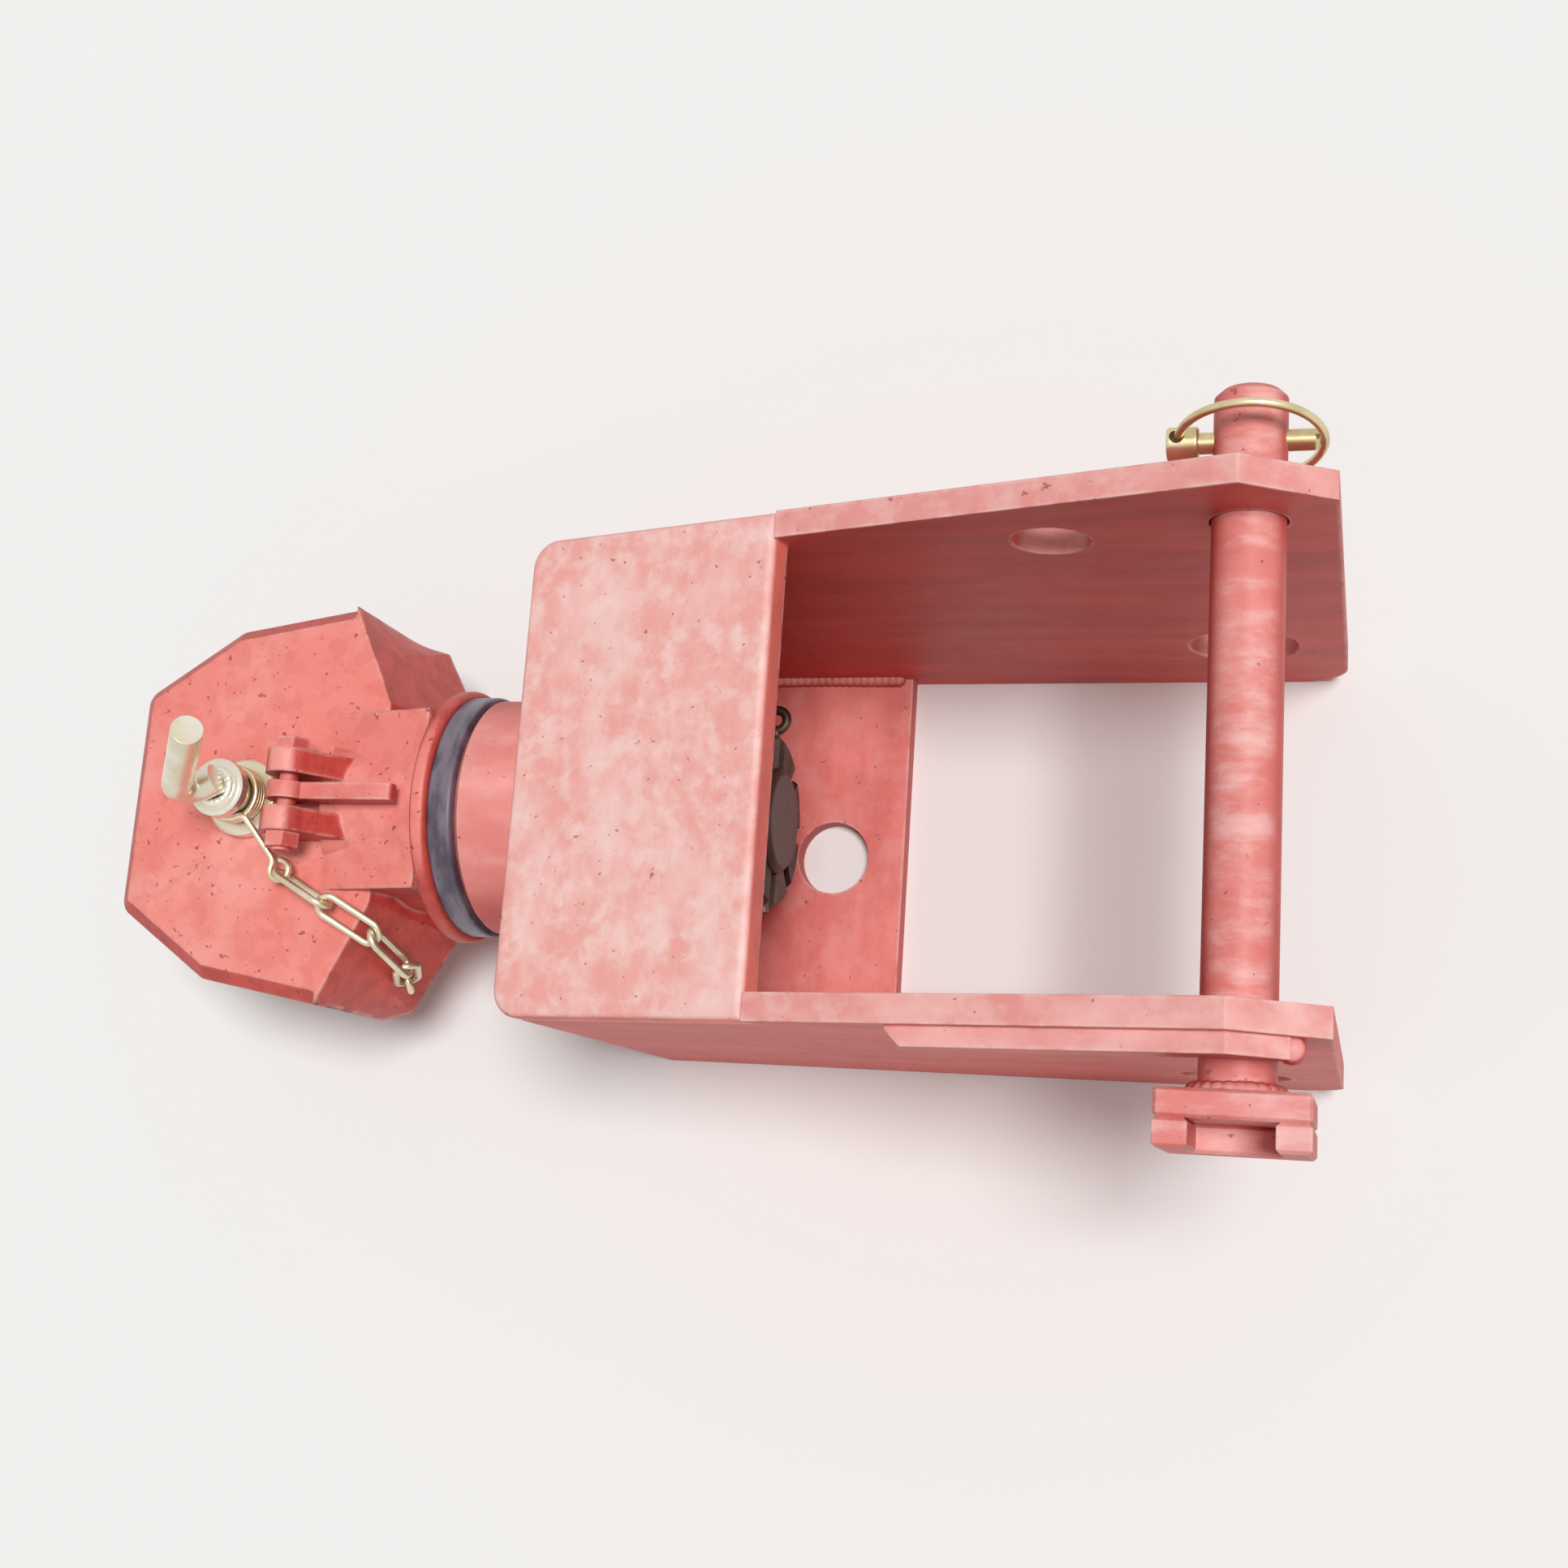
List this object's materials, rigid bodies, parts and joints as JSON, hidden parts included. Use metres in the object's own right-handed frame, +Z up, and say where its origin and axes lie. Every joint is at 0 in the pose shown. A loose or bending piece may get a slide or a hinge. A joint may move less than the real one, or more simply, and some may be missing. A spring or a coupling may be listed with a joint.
{
  "type": "tractor towing hitch",
  "caption": "Welded clevis frame with a cast towing jaw that swivels on a boss, a lift-out hitch pin on a safety chain, a keeper lever and a cross pin held by a linchpin.",
  "frame": {"origin": "centre of the drawbar hole on the underside of the frame", "axes": "+X along the hitch to the tractor end, +Y across to the left arm, +Z up"},
  "size_m": [0.647, 0.3275, 0.3126],
  "materials": {
    "red_oxide_paint": "satin brushed paint",
    "painted_casting": "rough painted casting",
    "grey_plastic": "satin",
    "bronze": "turned",
    "bare_steel": "dull, lightly rusted",
    "zinc_plate": "yellowish zinc plate"
  },
  "bodies": {
    "frame": {"left_arm": "red_oxide_paint", "right_arm": "red_oxide_paint", "top_plate": "red_oxide_paint", "front_plate": "red_oxide_paint", "bottom_plate": "red_oxide_paint", "side_bar": "red_oxide_paint", "swivel_boss": "red_oxide_paint", "front_bush": "bronze", "rear_bush": "bronze"},
    "jaw": {"jaw": "painted_casting", "thrust_ring": "grey_plastic", "nut_washer": "bare_steel", "swivel_nut": "bare_steel", "split_pin": "bare_steel", "lever_bolt": "red_oxide_paint", "lever_nut": "red_oxide_paint", "chain_staple": "red_oxide_paint", "chain": "zinc_plate"},
    "keeper": {"keeper_lever": "red_oxide_paint"},
    "coil": {"chain_coil": "zinc_plate"},
    "hitch_pin": {"hitch_pin": "zinc_plate", "pin_handle": "zinc_plate"},
    "cross_pin": {"cross_pin": "red_oxide_paint", "head_plate": "red_oxide_paint", "grip_plate": "red_oxide_paint", "linchpin": "zinc_plate"},
    "linchpin_ring": {"linchpin_ring": "zinc_plate"}
  },
  "joints": [
    {"name": "jaw_swivel", "type": "hinge", "parent": "frame", "child": "jaw", "pos_m": [-0.1, 0, 0.118], "axis": [1, 0, 0], "continuous": true},
    {"name": "keeper_turn", "type": "hinge", "parent": "jaw", "child": "keeper", "pos_m": [-0.254, 0, 0.181], "axis": [0, -1, 0], "range_deg": [0, 70]},
    {"name": "pin_lift", "type": "slide", "parent": "jaw", "child": "coil", "axis": [0, 0, 1], "range_m": [0, 0.075], "deforming": ["chain"]},
    {"name": "pin_turn", "type": "hinge", "parent": "coil", "child": "hitch_pin", "pos_m": [-0.29, 0, 0.16], "axis": [0, 0, 1], "continuous": true},
    {"name": "cross_pin_turn", "type": "hinge", "parent": "frame", "child": "cross_pin", "pos_m": [0.244, 0, 0.263], "axis": [0, 1, 0], "continuous": true},
    {"name": "ring_flip", "type": "hinge", "parent": "cross_pin", "child": "linchpin_ring", "pos_m": [0.2127, 0.142, 0.263], "axis": [0, 0.1736, 0.9848], "range_deg": [0, 170]}
  ]
}
